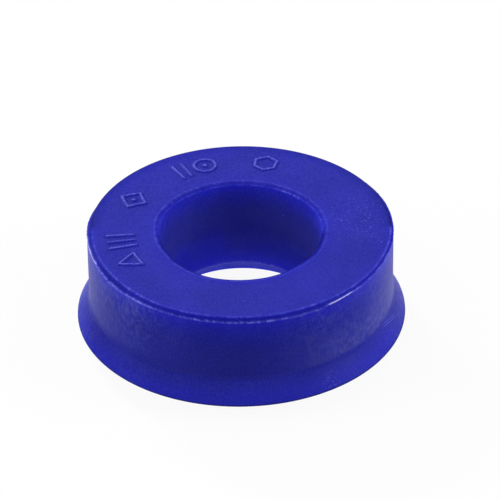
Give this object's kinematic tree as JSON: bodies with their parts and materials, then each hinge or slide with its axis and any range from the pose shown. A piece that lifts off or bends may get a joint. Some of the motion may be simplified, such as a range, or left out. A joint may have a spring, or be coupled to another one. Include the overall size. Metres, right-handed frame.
{
  "type": "one-piece U-cup rod and piston seal",
  "caption": "One-piece blue polyurethane U-cup seal: a ring with a flat heel and two flared lips round a groove, which seals a moving rod in a bored gland.",
  "frame": {"origin": "on the ring's axis, level with the tip of the outer lip, on which the seal stands heel up", "axes": "+Z along the ring's axis from the lips to the heel; the section is the same all round, so X and Y are any two directions across it"},
  "size_m": [0.017, 0.017, 0.006],
  "materials": {
    "polyurethane": "satin moulded elastomer, dark blue"
  },
  "bodies": {
    "root": {"seal_ring": "polyurethane"}
  },
  "joints": []
}
